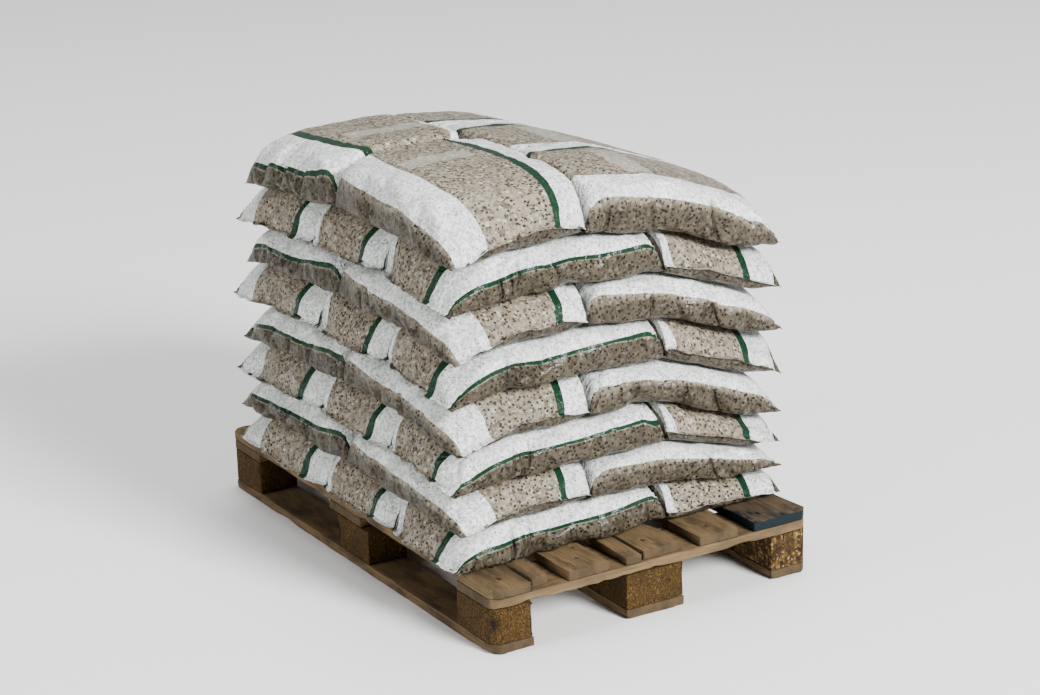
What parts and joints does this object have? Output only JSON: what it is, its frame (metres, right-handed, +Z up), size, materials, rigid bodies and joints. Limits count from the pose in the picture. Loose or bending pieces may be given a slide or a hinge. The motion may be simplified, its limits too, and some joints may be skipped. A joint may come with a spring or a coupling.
{
  "type": "pallet of sacks",
  "caption": "Wooden block pallet stacked with film sacks of gravel in bonded layers, drooping at the edges.",
  "frame": {"origin": "middle of the pallet's underside, on the floor", "axes": "+X along the pallet's 1200 mm side, +Y along its 800 mm side, +Z up"},
  "size_m": [1.2, 0.8247, 0.9458],
  "materials": {
    "deck_wood": "weathered rough-sawn softwood",
    "painted_wood": "worn dark blue paint on weathered wood",
    "chip_block": "pressed wood chips",
    "sack_film": "printed translucent film over gravel",
    "nail_steel": "dull rusted nail heads"
  },
  "bodies": {
    "root": {"bottom_board_1": "deck_wood", "bottom_board_2": "deck_wood", "bottom_board_3": "deck_wood", "block_1_1": "chip_block", "block_1_2": "chip_block", "block_1_3": "chip_block", "block_2_1": "chip_block", "block_2_2": "chip_block", "block_2_3": "chip_block", "block_3_1": "chip_block", "block_3_2": "chip_block", "block_3_3": "chip_block", "stringer_board_1": "deck_wood", "stringer_board_2": "deck_wood", "stringer_board_3": "deck_wood", "deck_board_1": "deck_wood", "deck_board_2": "deck_wood", "deck_board_3": "deck_wood", "deck_board_4": "deck_wood", "deck_board_5": "painted_wood", "sack_1_1": "sack_film", "sack_1_2": "sack_film", "sack_1_3": "sack_film", "sack_1_4": "sack_film", "sack_1_5": "sack_film", "sack_2_1": "sack_film", "sack_2_2": "sack_film", "sack_2_3": "sack_film", "sack_2_4": "sack_film", "sack_2_5": "sack_film", "sack_3_1": "sack_film", "sack_3_2": "sack_film", "sack_3_3": "sack_film", "sack_3_4": "sack_film", "sack_3_5": "sack_film", "sack_4_1": "sack_film", "sack_4_2": "sack_film", "sack_4_3": "sack_film", "sack_4_4": "sack_film", "sack_4_5": "sack_film", "sack_5_1": "sack_film", "sack_5_2": "sack_film", "sack_5_3": "sack_film", "sack_5_4": "sack_film", "sack_5_5": "sack_film", "sack_6_1": "sack_film", "sack_6_2": "sack_film", "sack_6_3": "sack_film", "sack_6_4": "sack_film", "sack_6_5": "sack_film", "sack_7_1": "sack_film", "sack_7_2": "sack_film", "sack_7_3": "sack_film", "sack_7_4": "sack_film", "sack_7_5": "sack_film", "sack_8_1": "sack_film", "sack_8_2": "sack_film", "sack_8_3": "sack_film", "sack_8_4": "sack_film", "sack_8_5": "sack_film"}
  },
  "joints": []
}
